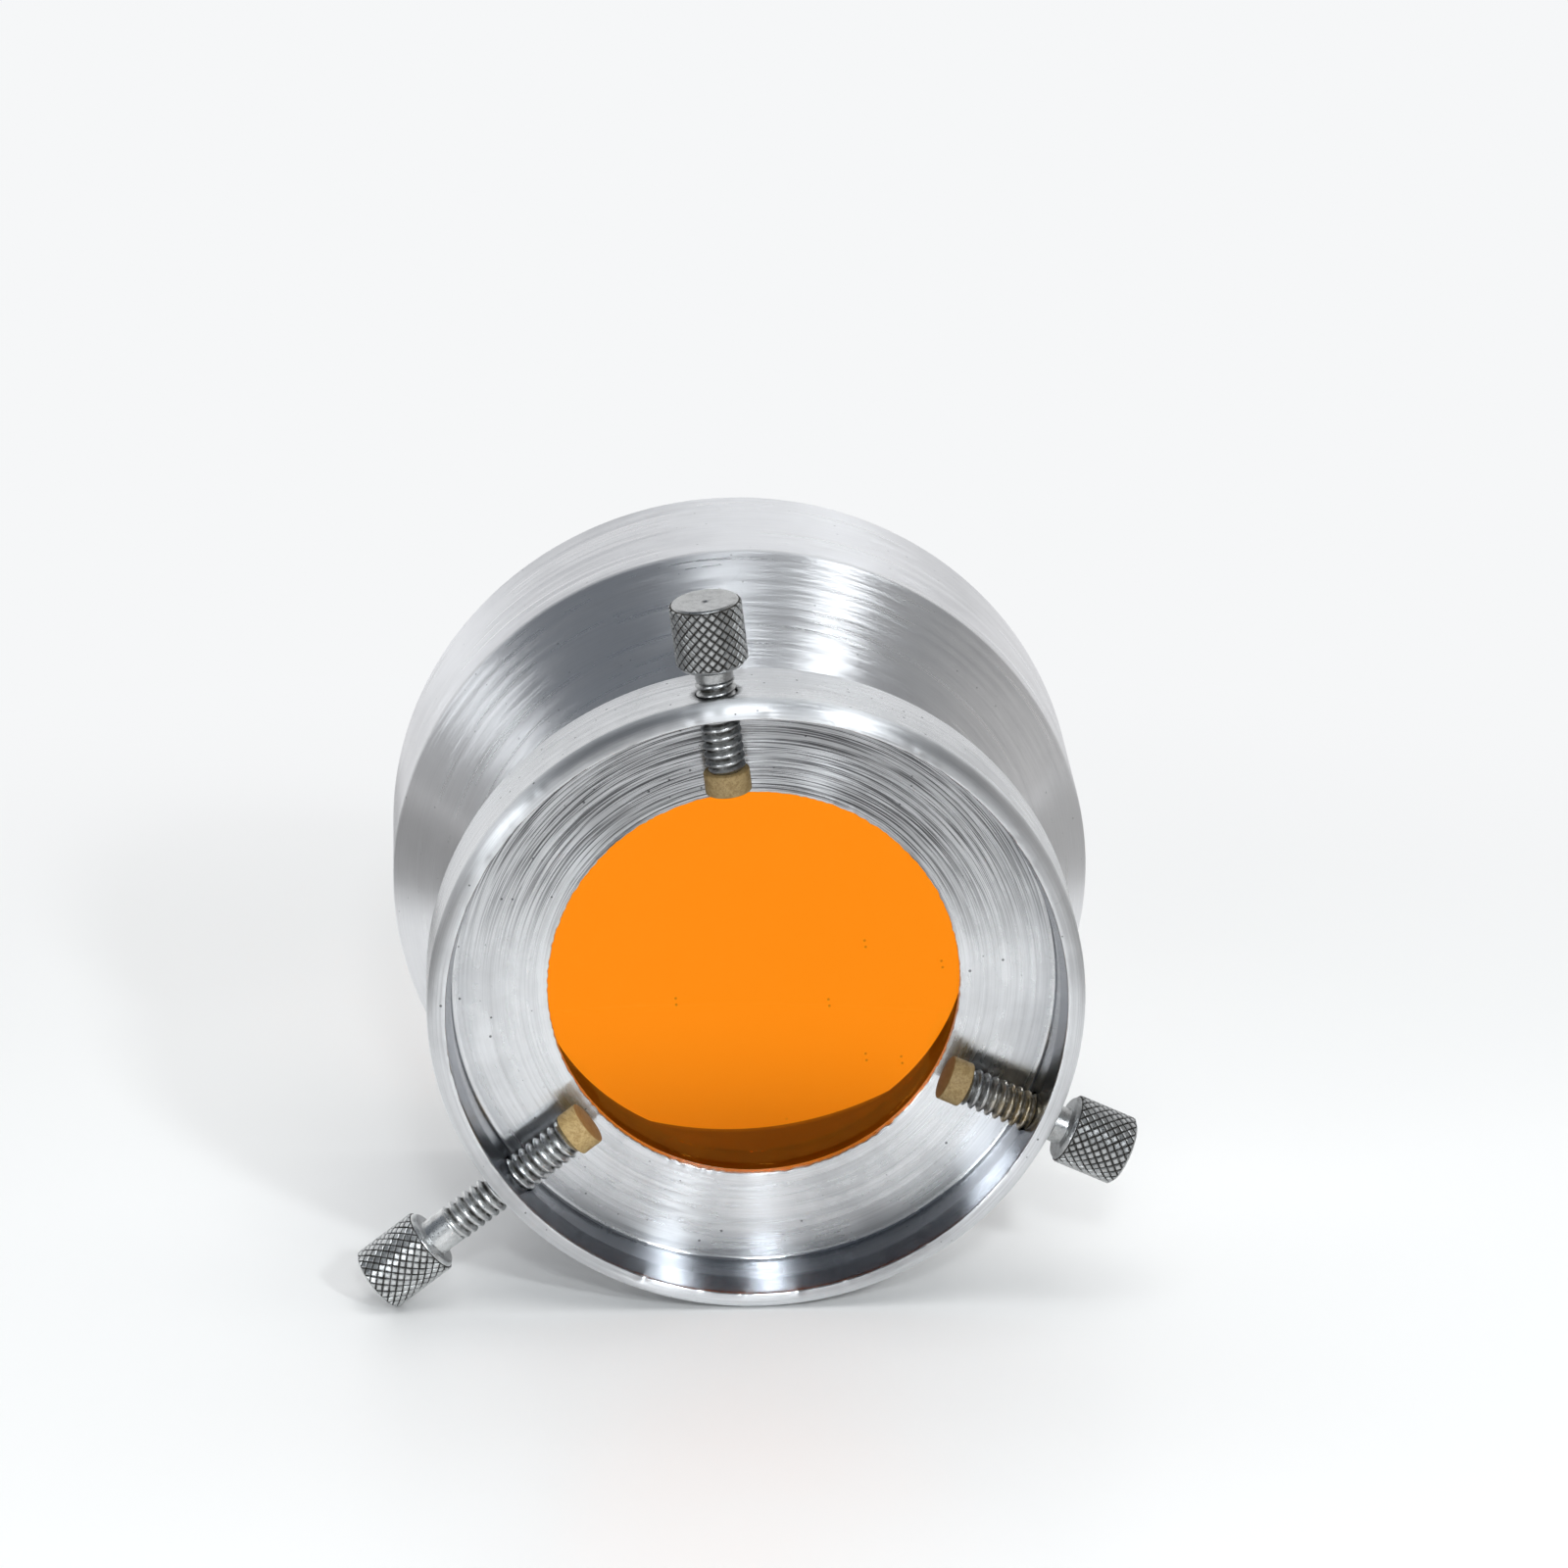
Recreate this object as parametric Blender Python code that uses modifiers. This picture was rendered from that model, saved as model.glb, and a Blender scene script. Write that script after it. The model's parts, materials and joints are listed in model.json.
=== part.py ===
"""Clamp-on lens sunshade with a drop-in filter, lying on its side on a table.

A turned aluminium clamp ring holds the front of a lens between three radial
thumbscrews.  Behind the ring's web sits a round filter in its rim, and the
hood screws into the ring's boss behind it.

Units are metres, +Z is up.  Turned pieces are drawn along the optical axis,
with their local Z measured backwards from the ring's front lip.  The sunshade
lies on its ring and its hood, and has rolled onto the head of the long
thumbscrew.
"""

import math

import bmesh
import bpy
from mathutils import Matrix, Vector

MM = 0.001

# Clearances
GAP = 0.3 * MM
HOLE_CLEARANCE = 0.3 * MM
FILTER_PLAY = 0.95 * MM
FLOOR_CLEARANCE = 0.7 * MM

# Filter
RIM_RADIUS = 20.65 * MM
RIM_WALL = 0.5 * MM
RIM_LIP_THICKNESS = 0.4 * MM
GLASS_THICKNESS = 2.3 * MM

# Clamp ring
RING_RADIUS = 28.5 * MM
RING_WALL = 2.1 * MM
LIP_ROUNDING = 1.2 * MM
LIP_TAPER_WIDTH = 0.5 * MM
LIP_TAPER_DEPTH = 2.4 * MM
WEB_OVERLAP = 2.65 * MM
WEB_THICKNESS = 0.9 * MM
FLANGE_THICKNESS = 2.7 * MM
BOSS_LENGTH = 6.9 * MM
BOSS_WALL = 1.8 * MM

# Hood
NECK_WALL = 1.8 * MM
COLLAR_STEP = 1.7 * MM
COLLAR_LENGTH = 4.4 * MM
HOOD_RADIUS = 31.35 * MM
CONE_HALF_ANGLE = math.radians(38.0)
CONE_WALL = 0.93 * MM
BAND_LENGTH = 14.6 * MM
BAND_WALL = 0.8 * MM

# Thumbscrews and their tips
SCREW_DEPTH = 3.3 * MM
THREAD_RADIUS = 1.75 * MM
THREAD_END_CHAMFER = 0.3 * MM
PLAIN_STEP = 0.1 * MM
SHORT_SHANK_SPARE = 7.5 * MM
SHORT_PLAIN = 1.2 * MM
SHORT_HEAD_RADIUS = 3.12 * MM
SHORT_HEAD_LENGTH = 5.9 * MM
LONG_SHANK_SPARE = 13.3 * MM
LONG_PLAIN = 2.2 * MM
LONG_HEAD_RADIUS = 3.0 * MM
LONG_HEAD_LENGTH = 6.5 * MM
HEAD_CHAMFER = 0.25 * MM
HEAD_DISH = 0.15 * MM
PIN_RADIUS = 0.8 * MM
PIN_LENGTH = 1.1 * MM
TIP_STEP = 0.25 * MM
TIP_LENGTH = 1.65 * MM

# How far each head stands off the ring
TOP_STANDOFF = 2.45 * MM
LEFT_STANDOFF = 7.5 * MM
RIGHT_STANDOFF = 1.4 * MM
# Where the other two screws are, counted from the left one
TOP_FROM_LEFT = math.radians(-121.6)
RIGHT_FROM_LEFT = math.radians(116.1)

# Segments of the turned shapes, and the angle at which their edges stay sharp
LARGE_STEPS = 72
SMALL_STEPS = 28
ARC_STEPS = 5
SHARP_ANGLE = math.radians(30.0)

# Radii that follow from the filter, the bore and the thread
RECESS_RADIUS = RIM_RADIUS + FILTER_PLAY
HOOD_THREAD_RADIUS = RECESS_RADIUS - HOLE_CLEARANCE
NECK_BORE_RADIUS = HOOD_THREAD_RADIUS - NECK_WALL
COLLAR_RADIUS = HOOD_THREAD_RADIUS + COLLAR_STEP
BOSS_RADIUS = RECESS_RADIUS + BOSS_WALL
APERTURE_RADIUS = RIM_RADIUS - WEB_OVERLAP
GLASS_RADIUS = RIM_RADIUS - RIM_WALL - GAP
LENS_BORE_RADIUS = RING_RADIUS - RING_WALL
BAND_BORE_RADIUS = HOOD_RADIUS - BAND_WALL
PLAIN_SHANK_RADIUS = THREAD_RADIUS - PLAIN_STEP
SCREW_HOLE_RADIUS = THREAD_RADIUS + HOLE_CLEARANCE
TIP_RADIUS = THREAD_RADIUS + TIP_STEP
TIP_SOCKET_RADIUS = PIN_RADIUS + GAP

# Stations along the optical axis
CUP_DEPTH = SCREW_DEPTH + TIP_RADIUS + FLOOR_CLEARANCE
RING_LENGTH = CUP_DEPTH + FLANGE_THICKNESS
WEB_BACK = CUP_DEPTH + WEB_THICKNESS
BOSS_END = RING_LENGTH + BOSS_LENGTH
RIM_FRONT = WEB_BACK + GAP
RIM_SEAT = RIM_FRONT + GLASS_THICKNESS + GAP
RIM_BACK = RIM_SEAT + RIM_LIP_THICKNESS
NECK_FRONT = RIM_BACK + GAP
COLLAR_FRONT = BOSS_END + GAP
CONE_START = COLLAR_FRONT + COLLAR_LENGTH
CONE_SLOPE = math.tan(CONE_HALF_ANGLE)
BAND_START = CONE_START + (HOOD_RADIUS - COLLAR_RADIUS) / CONE_SLOPE
HOOD_END = BAND_START + BAND_LENGTH

# Screw lengths
SHORT_SHANK = RING_WALL + SHORT_SHANK_SPARE
LONG_SHANK = RING_WALL + LONG_SHANK_SPARE


def rest_line():
    """Rise of the optical axis on a table, and the station where the hood touches it."""
    if HOOD_RADIUS < RING_RADIUS:
        fall = math.atan2(RING_RADIUS - HOOD_RADIUS, HOOD_END - RING_LENGTH)
        return -fall, HOOD_END
    run = BAND_START - LIP_ROUNDING
    rise = HOOD_RADIUS - (RING_RADIUS - LIP_ROUNDING)
    tilt = math.atan2(rise, run) - math.asin(LIP_ROUNDING / math.hypot(run, rise))
    return tilt, BAND_START


def left_screw_angle(tilt, touching_station):
    """Direction of the long screw, seen from the lens side, as its head lies on the table."""
    to_screw = touching_station - SCREW_DEPTH
    height = HOOD_RADIUS * math.cos(tilt) - to_screw * math.sin(tilt)
    rim = RING_RADIUS + LEFT_STANDOFF + LONG_HEAD_LENGTH - HEAD_CHAMFER
    diagonal = math.hypot(rim, LONG_HEAD_RADIUS)
    from_vertical = math.atan2(LONG_HEAD_RADIUS, rim) + math.acos(min(1.0, height / diagonal))
    return math.pi + math.asin(min(1.0, math.cos(from_vertical) / math.cos(tilt)))


def arc(centre_x, centre_z, radius, start, end, steps=ARC_STEPS):
    """Points of an arc in the profile plane, angles in degrees from +X to +Z."""
    angles = [math.radians(start + (end - start) * i / steps) for i in range(steps + 1)]
    return [(centre_x + radius * math.cos(a), centre_z + radius * math.sin(a)) for a in angles]


def new_material(name, colour, roughness, metallic, transmission=0.0):
    material = bpy.data.materials.new(name)
    material.use_nodes = True
    shader = material.node_tree.nodes["Principled BSDF"]
    shader.inputs["Base Color"].default_value = (*colour, 1.0)
    shader.inputs["Roughness"].default_value = roughness
    shader.inputs["Metallic"].default_value = metallic
    shader.inputs["Transmission Weight"].default_value = transmission
    return material


def new_collection(name):
    collection = bpy.data.collections.new(name)
    bpy.context.scene.collection.children.link(collection)
    return collection


def new_empty(name, collection, parent=None, matrix=Matrix()):
    empty = bpy.data.objects.new(name, None)
    collection.objects.link(empty)
    empty.parent = parent
    empty.matrix_basis = matrix
    return empty


def turned(name, profile, closed, steps, material, collection, parent):
    """A profile turned about local Z: a closed ring section, or one from axis to axis."""
    mesh = bpy.data.meshes.new(name)
    bm = bmesh.new()
    points = [bm.verts.new((x, 0.0, z)) for x, z in profile]
    for first, second in zip(points, points[1:]):
        bm.edges.new((first, second))
    if closed:
        bm.edges.new((points[-1], points[0]))
    # Half a step round, so that a flat and not an edge of the turned shape points down.
    bmesh.ops.rotate(bm, verts=bm.verts, matrix=Matrix.Rotation(math.pi / steps, 3, "Z"))
    bm.to_mesh(mesh)
    bm.free()
    mesh.materials.append(material)

    obj = bpy.data.objects.new(name, mesh)
    collection.objects.link(obj)
    obj.parent = parent
    screw = obj.modifiers.new("Turn", "SCREW")
    screw.axis = "Z"
    screw.angle = math.tau
    screw.steps = steps
    screw.render_steps = steps
    screw.use_merge_vertices = True
    screw.merge_threshold = 0.000001
    screw.use_smooth_shade = True
    return obj


def cut(obj, cutter):
    boolean = obj.modifiers.new(cutter.name, "BOOLEAN")
    boolean.operation = "DIFFERENCE"
    boolean.object = cutter


def new_smooth_by_angle():
    """Node group that shades a mesh smooth except at its sharp edges."""
    group = bpy.data.node_groups.new("Smooth by angle", "GeometryNodeTree")
    group.is_modifier = True
    group.interface.new_socket("Mesh", in_out="INPUT", socket_type="NodeSocketGeometry")
    group.interface.new_socket("Mesh", in_out="OUTPUT", socket_type="NodeSocketGeometry")
    nodes = group.nodes
    source = nodes.new("NodeGroupInput")
    result = nodes.new("NodeGroupOutput")
    edge_angle = nodes.new("GeometryNodeInputMeshEdgeAngle")
    is_round = nodes.new("FunctionNodeCompare")
    is_round.operation = "LESS_THAN"
    is_round.inputs["B"].default_value = SHARP_ANGLE
    shade = nodes.new("GeometryNodeSetShadeSmooth")
    shade.domain = "EDGE"
    group.links.new(edge_angle.outputs["Unsigned Angle"], is_round.inputs["A"])
    group.links.new(source.outputs["Mesh"], shade.inputs["Geometry"])
    group.links.new(is_round.outputs["Result"], shade.inputs["Shade Smooth"])
    group.links.new(shade.outputs["Geometry"], result.inputs["Mesh"])
    return group


def make_clamp_ring(material, collection, axis):
    profile = [
        (BOSS_RADIUS, BOSS_END),
        (BOSS_RADIUS, RING_LENGTH),
        (RING_RADIUS, RING_LENGTH),
        *arc(RING_RADIUS - LIP_ROUNDING, LIP_ROUNDING, LIP_ROUNDING, 0.0, -90.0),
        (LENS_BORE_RADIUS + LIP_TAPER_WIDTH, 0.0),
        (LENS_BORE_RADIUS, LIP_TAPER_DEPTH),
        (LENS_BORE_RADIUS, CUP_DEPTH),
        (APERTURE_RADIUS, CUP_DEPTH),
        (APERTURE_RADIUS, WEB_BACK),
        (RECESS_RADIUS, WEB_BACK),
        (RECESS_RADIUS, BOSS_END),
    ]
    return turned("clamp_ring", profile, True, LARGE_STEPS, material, collection, axis)


def make_screw_hole(name, collection, hole_axis):
    """Cutter for one thumbscrew hole, from inside the ring's bore to outside the ring."""
    inner = LENS_BORE_RADIUS - RING_WALL
    outer = RING_RADIUS + RING_WALL
    mesh = bpy.data.meshes.new(name)
    bm = bmesh.new()
    bmesh.ops.create_cone(
        bm,
        cap_ends=True,
        segments=SMALL_STEPS,
        radius1=SCREW_HOLE_RADIUS,
        radius2=SCREW_HOLE_RADIUS,
        depth=outer - inner,
        matrix=Matrix.Translation((0.0, 0.0, (outer + inner) / 2)),
    )
    bm.to_mesh(mesh)
    bm.free()
    cutter = bpy.data.objects.new(name, mesh)
    collection.objects.link(cutter)
    cutter.parent = hole_axis
    cutter.hide_render = True
    cutter.display_type = "WIRE"
    return cutter


def make_hood(material, collection, axis):
    wall_offset = CONE_WALL / math.cos(CONE_HALF_ANGLE)
    bore_end = CONE_START - (COLLAR_RADIUS - wall_offset - NECK_BORE_RADIUS) / CONE_SLOPE
    band_bore_start = bore_end + (BAND_BORE_RADIUS - NECK_BORE_RADIUS) / CONE_SLOPE
    profile = [
        (HOOD_RADIUS, HOOD_END),
        (HOOD_RADIUS, BAND_START),
        (COLLAR_RADIUS, CONE_START),
        (COLLAR_RADIUS, COLLAR_FRONT),
        (HOOD_THREAD_RADIUS, COLLAR_FRONT),
        (HOOD_THREAD_RADIUS, NECK_FRONT),
        (NECK_BORE_RADIUS, NECK_FRONT),
        (NECK_BORE_RADIUS, bore_end),
        (BAND_BORE_RADIUS, band_bore_start),
        (BAND_BORE_RADIUS, HOOD_END),
    ]
    return turned("hood", profile, True, LARGE_STEPS, material, collection, axis)


def make_filter_rim(material, collection, axis):
    inside = RIM_RADIUS - RIM_WALL
    profile = [
        (RIM_RADIUS, RIM_BACK),
        (RIM_RADIUS, RIM_FRONT),
        (inside, RIM_FRONT),
        (inside, RIM_SEAT),
        (NECK_BORE_RADIUS, RIM_SEAT),
        (NECK_BORE_RADIUS, RIM_BACK),
    ]
    return turned("filter_rim", profile, True, LARGE_STEPS, material, collection, axis)


def make_filter_glass(material, collection, axis):
    back = RIM_FRONT + GLASS_THICKNESS
    profile = [(0.0, back), (GLASS_RADIUS, back), (GLASS_RADIUS, RIM_FRONT), (0.0, RIM_FRONT)]
    return turned("filter_glass", profile, False, LARGE_STEPS, material, collection, axis)


def make_thumbscrew(name, size, material, collection, screw_axis):
    """One turned screw, its thread's end at local zero and its head outwards."""
    shank, plain, head_radius, head_length = size
    end = shank + head_length
    profile = [
        (0.0, end - HEAD_DISH),
        (head_radius - 2 * HEAD_CHAMFER, end - HEAD_DISH / 2),
        (head_radius - HEAD_CHAMFER, end),
        (head_radius, end - HEAD_CHAMFER),
        (head_radius, shank + HEAD_CHAMFER),
        (head_radius - HEAD_CHAMFER, shank),
        (PLAIN_SHANK_RADIUS, shank),
        (PLAIN_SHANK_RADIUS, shank - plain),
        (THREAD_RADIUS, shank - plain - PLAIN_STEP),
        (THREAD_RADIUS, THREAD_END_CHAMFER),
        (THREAD_RADIUS - THREAD_END_CHAMFER, 0.0),
        (PIN_RADIUS, 0.0),
        (PIN_RADIUS, -PIN_LENGTH),
        (0.0, -PIN_LENGTH),
    ]
    return turned(name, profile, False, SMALL_STEPS, material, collection, screw_axis)


def make_tip_pad(name, material, collection, screw_axis):
    """A soft tip on the screw's pin, open towards the screw."""
    profile = [
        (0.0, -PIN_LENGTH - GAP),
        (TIP_SOCKET_RADIUS, -PIN_LENGTH - GAP),
        (TIP_SOCKET_RADIUS, -GAP),
        (TIP_RADIUS, -GAP),
        (TIP_RADIUS, -GAP - TIP_LENGTH),
        (0.0, -GAP - TIP_LENGTH),
    ]
    return turned(name, profile, False, SMALL_STEPS, material, collection, screw_axis)


def radial_matrix(angle, reach):
    """Local Z outwards along a screw's axis, from a point at this reach."""
    outwards = Vector((math.cos(angle), -math.sin(angle), 0.0))
    rotation = Vector((0.0, 0.0, 1.0)).rotation_difference(outwards).to_matrix().to_4x4()
    return Matrix.Translation(outwards * reach + Vector((0.0, 0.0, SCREW_DEPTH))) @ rotation


def stand_on_origin(optical_axis, objects):
    """Moves the whole sunshade so that the origin is under its middle, at table height."""
    bpy.context.view_layer.update()
    graph = bpy.context.evaluated_depsgraph_get()
    points = []
    for obj in objects:
        shape = obj.evaluated_get(graph)
        points += [shape.matrix_world @ v.co for v in shape.data.vertices]
    low = Vector([min(p[i] for p in points) for i in range(3)])
    high = Vector([max(p[i] for p in points) for i in range(3)])
    optical_axis.location -= Vector(((low.x + high.x) / 2, (low.y + high.y) / 2, low.z))
    bpy.context.view_layer.update()


def main():
    for old in list(bpy.data.objects):
        bpy.data.objects.remove(old, do_unlink=True)

    parts = new_collection("lens_sunshade")
    cutters = new_collection("cutters")

    ring_metal = new_material("ring_aluminium", (0.62, 0.64, 0.66), 0.3, 1.0)
    hood_metal = new_material("hood_aluminium", (0.6, 0.62, 0.65), 0.25, 1.0)
    rim_metal = new_material("rim_aluminium", (0.5, 0.5, 0.52), 0.35, 1.0)
    glass = new_material("orange_glass", (1.0, 0.32, 0.01), 0.02, 0.0, transmission=1.0)
    steel = new_material("screw_steel", (0.42, 0.42, 0.4), 0.35, 1.0)
    wood = new_material("tip_wood", (0.53, 0.36, 0.17), 0.8, 0.0)

    tilt, touching_station = rest_line()
    backwards = Matrix.Rotation(tilt - math.pi / 2, 4, "X")
    axis = new_empty("optical_axis", parts, matrix=backwards)

    ring = make_clamp_ring(ring_metal, parts, axis)
    objects = [
        ring,
        make_hood(hood_metal, parts, axis),
        make_filter_rim(rim_metal, parts, axis),
        make_filter_glass(glass, parts, axis),
    ]

    left = left_screw_angle(tilt, touching_station)
    short = (SHORT_SHANK, SHORT_PLAIN, SHORT_HEAD_RADIUS, SHORT_HEAD_LENGTH)
    long = (LONG_SHANK, LONG_PLAIN, LONG_HEAD_RADIUS, LONG_HEAD_LENGTH)
    screws = (
        ("top", left + TOP_FROM_LEFT, RING_RADIUS + TOP_STANDOFF - SHORT_SHANK, short),
        ("left", left, RING_RADIUS + LEFT_STANDOFF - LONG_SHANK, long),
        ("right", left + RIGHT_FROM_LEFT, RING_RADIUS + RIGHT_STANDOFF - SHORT_SHANK, short),
    )
    for place, angle, reach, size in screws:
        hole_axis = new_empty(f"hole_{place}_axis", parts, axis, radial_matrix(angle, 0.0))
        cut(ring, make_screw_hole(f"hole_{place}", cutters, hole_axis))
        screw_axis = new_empty(f"screw_{place}_axis", parts, axis, radial_matrix(angle, reach))
        screw = make_thumbscrew(f"thumbscrew_{place}", size, steel, parts, screw_axis)
        objects += [screw, make_tip_pad(f"tip_pad_{place}", wood, parts, screw_axis)]

    smooth_by_angle = new_smooth_by_angle()
    for obj in objects:
        obj.modifiers.new("Smooth by angle", "NODES").node_group = smooth_by_angle
    stand_on_origin(axis, objects)


main()
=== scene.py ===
"""Lens sunshade lying on its side: a turned clamp ring with three knurled
thumbscrews, an orange filter in its rim and the hood screwed in behind it.
"""

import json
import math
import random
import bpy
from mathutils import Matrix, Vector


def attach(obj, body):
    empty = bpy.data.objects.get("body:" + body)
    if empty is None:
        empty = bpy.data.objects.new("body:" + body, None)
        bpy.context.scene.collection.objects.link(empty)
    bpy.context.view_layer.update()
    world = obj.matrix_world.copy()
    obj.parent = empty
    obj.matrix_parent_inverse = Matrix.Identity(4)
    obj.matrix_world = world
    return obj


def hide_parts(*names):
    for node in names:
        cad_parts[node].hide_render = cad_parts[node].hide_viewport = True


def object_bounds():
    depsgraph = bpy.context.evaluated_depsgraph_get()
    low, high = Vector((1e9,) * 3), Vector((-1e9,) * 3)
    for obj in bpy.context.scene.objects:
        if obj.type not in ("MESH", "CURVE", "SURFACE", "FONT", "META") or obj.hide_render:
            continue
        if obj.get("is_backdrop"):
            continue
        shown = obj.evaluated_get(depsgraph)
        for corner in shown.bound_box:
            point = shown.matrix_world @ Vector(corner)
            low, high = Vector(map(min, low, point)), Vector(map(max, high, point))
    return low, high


bl_info = {
    "name": "Lens sunshade",
    "version": (1, 0, 0),
    "blender": (4, 5, 0),
    "location": "3D Viewport > Sidebar > Sunshade",
    "description": "Builds a turned aluminium lens sunshade with its filter and thumbscrews",
    "category": "Object",
}

from functools import partial

import bmesh
import bpy
from bpy.props import FloatProperty, FloatVectorProperty, IntProperty, PointerProperty
from mathutils import Matrix, Vector, noise

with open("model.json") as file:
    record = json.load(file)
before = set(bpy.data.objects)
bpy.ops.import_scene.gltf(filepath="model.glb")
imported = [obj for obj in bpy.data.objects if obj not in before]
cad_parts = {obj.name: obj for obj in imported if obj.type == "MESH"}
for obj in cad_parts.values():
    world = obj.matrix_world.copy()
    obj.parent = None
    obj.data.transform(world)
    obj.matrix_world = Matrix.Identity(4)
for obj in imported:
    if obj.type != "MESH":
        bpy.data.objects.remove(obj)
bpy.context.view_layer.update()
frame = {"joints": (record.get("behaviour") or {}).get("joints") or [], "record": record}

MM = 0.001
JOINTS = {joint["name"]: joint for joint in frame["joints"]}
MOUNTS = {mount["name"]: mount for mount in frame["record"]["mounts"]}
PLACES = ("top", "left", "right")
SHARP_ANGLE = math.radians(35.0)

# Steps round the axis, enough for an outline that looks round close up.
RING_STEPS = 480
HOOD_STEPS = 360
RIM_STEPS = 240
SCREW_STEPS = 96
TIP_STEPS = 64
NECK_THREAD_STEPS = 96
SCREW_THREAD_STEPS = 40
DRILL_SEGMENTS = 48

SCREW_THREAD_DEPTH = 0.42 * MM
NECK_THREAD_DEPTH = 0.45 * MM
THREAD_CHAMFER = 0.4 * MM
HEAD_CHAMFER = 0.25 * MM
HOLE_CLEARANCE = 0.1 * MM
PIN_LENGTH = 1.1 * MM
SOCKET_CLEARANCE = 0.1 * MM
LIP_NICKS = 90
BURR = 0.12 * MM
MERGE_DISTANCE = 0.001 * MM

# One ridge of a thread: the share of the pitch, and of the depth below the crest.
THREAD_SHAPE = (
    (0.0, 1.0),
    (0.08, 1.0),
    (0.22, 0.5),
    (0.36, 0.1),
    (0.5, 0.0),
    (0.64, 0.1),
    (0.78, 0.5),
    (0.92, 1.0),
    (1.0, 1.0),
)


def linear_colour(hex_text):
    """An sRGB hex colour as the linear RGBA that Blender's sockets take."""
    parts = [int(hex_text[i : i + 2], 16) / 255 for i in (1, 3, 5)]
    linear = [c / 12.92 if c <= 0.04045 else ((c + 0.055) / 1.055) ** 2.4 for c in parts]
    return (*linear, 1.0)


def length(name, description, millimetres):
    """A setting for one length, given in millimetres."""
    return FloatProperty(
        name=name,
        description=description,
        default=millimetres * MM,
        min=0.0,
        precision=5,
        unit="LENGTH",
        subtype="DISTANCE",
    )


def colour(name, description, hex_text):
    """A setting for one colour, given as sRGB hex."""
    return FloatVectorProperty(
        name=name,
        description=description,
        default=linear_colour(hex_text),
        size=4,
        min=0.0,
        max=1.0,
        subtype="COLOR",
    )


class SunshadeSizes(bpy.types.PropertyGroup):
    """Sizes of the turned pieces and the screws."""

    ring_radius: length("Ring radius", "Outside radius of the clamp ring", 28.5)
    lens_bore: length("Lens bore", "Radius of the cup that goes over the lens", 26.4)
    cup_depth: length("Cup depth", "Depth from the front lip to the web", 6.0)
    lip_rounding: length("Lip rounding", "Radius on the lip's outer edge", 1.2)
    aperture: length("Aperture", "Radius of the opening in the web", 18.0)
    web_back: length("Web back", "Station of the web's back face", 6.9)
    ring_length: length("Ring length", "Station where the ring steps in to its boss", 8.7)
    boss_radius: length("Boss radius", "Outside radius of the boss", 23.4)
    recess: length("Recess", "Radius of the threaded recess for filter and hood", 21.6)
    boss_end: length("Boss end", "Station of the boss's back face", 15.6)

    hood_radius: length("Hood radius", "Outside radius of the hood's band", 31.35)
    hood_wall: length("Band wall", "Thickness of the hood's band", 0.8)
    hood_end: length("Hood end", "Station of the hood's mouth", 45.5875)
    band_start: length("Band start", "Station where the cone meets the band", 30.9875)
    cone_start: length("Cone start", "Station where the collar meets the cone", 20.3)
    collar_radius: length("Collar radius", "Outside radius of the collar", 23.0)
    collar_front: length("Collar front", "Station of the collar's front face", 15.9)
    neck_front: length("Neck front", "Station of the threaded neck's front face", 10.5)
    neck_bore: length("Neck bore", "Radius of the hole through the neck", 19.5)
    neck_thread: length("Neck thread", "Outside radius of the neck's thread", 21.3)
    cone_wall: length("Cone wall", "Thickness of the cone, square to its surface", 0.93)

    rim_radius: length("Rim radius", "Outside radius of the filter's rim", 20.65)
    rim_front: length("Rim front", "Station of the rim's front edge", 7.2)
    rim_back: length("Rim back", "Station of the rim's back face", 10.2)
    glass_radius: length("Glass radius", "Radius of the filter glass", 19.85)
    glass_thickness: length("Glass thickness", "Thickness of the filter glass", 2.3)

    short_shank: length("Short shank", "Length of the top and right screws' shanks", 9.6)
    short_plain: length("Short plain part", "Unthreaded length of the short shanks", 1.2)
    short_head_radius: length("Short head radius", "Radius of the short screws' heads", 3.12)
    short_head_length: length("Short head length", "Length of the short screws' heads", 5.9)
    long_shank: length("Long shank", "Length of the left screw's shank", 15.4)
    long_plain: length("Long plain part", "Unthreaded length of the long shank", 2.2)
    long_head_radius: length("Long head radius", "Radius of the left screw's head", 3.0)
    long_head_length: length("Long head length", "Length of the left screw's head", 6.5)
    thread_radius: length("Thread radius", "Outside radius of the screws' thread", 1.75)
    thread_pitch: length("Thread pitch", "Distance from one thread ridge to the next", 0.794)
    pin_radius: length("Pin radius", "Radius of the pin that holds the tip", 0.8)
    tip_radius: length("Tip radius", "Radius of the wooden tips", 2.0)
    tip_length: length("Tip length", "Length of the wooden tips", 1.93)
    knurl_depth: length("Knurl depth", "Depth of the grooves between the diamonds", 0.17)
    knurl_starts: IntProperty(
        name="Knurl starts",
        description="Number of diamonds round a thumbscrew's head",
        default=22,
        min=8,
        max=40,
    )


class SunshadeColours(bpy.types.PropertyGroup):
    """Colours of the finishes."""

    ring_metal: colour("Ring aluminium", "Turned aluminium of the clamp ring", "#E3E4E6")
    hood_metal: colour("Hood aluminium", "Turned aluminium of the hood", "#F1F1F3")
    paint: colour("Hood inside", "Matt black paint inside the hood", "#2A1A19")
    glass: colour("Filter glass", "Orange filter glass", "#FF8A10")
    steel: colour("Screw steel", "Nickel-plated steel of the thumbscrews", "#CFD0D0")
    grime: colour("Grime", "Old dirt in the knurl and the threads", "#2B2823")
    tarnish: colour("Tarnish", "Golden tarnish on one screw's thread", "#B39654")
    wood: colour("Tip wood", "Bare wood of the tips", "#C0A571")
    floor: colour("Floor", "Pale table top", "#F4F4F3")


# Shapes


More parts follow.
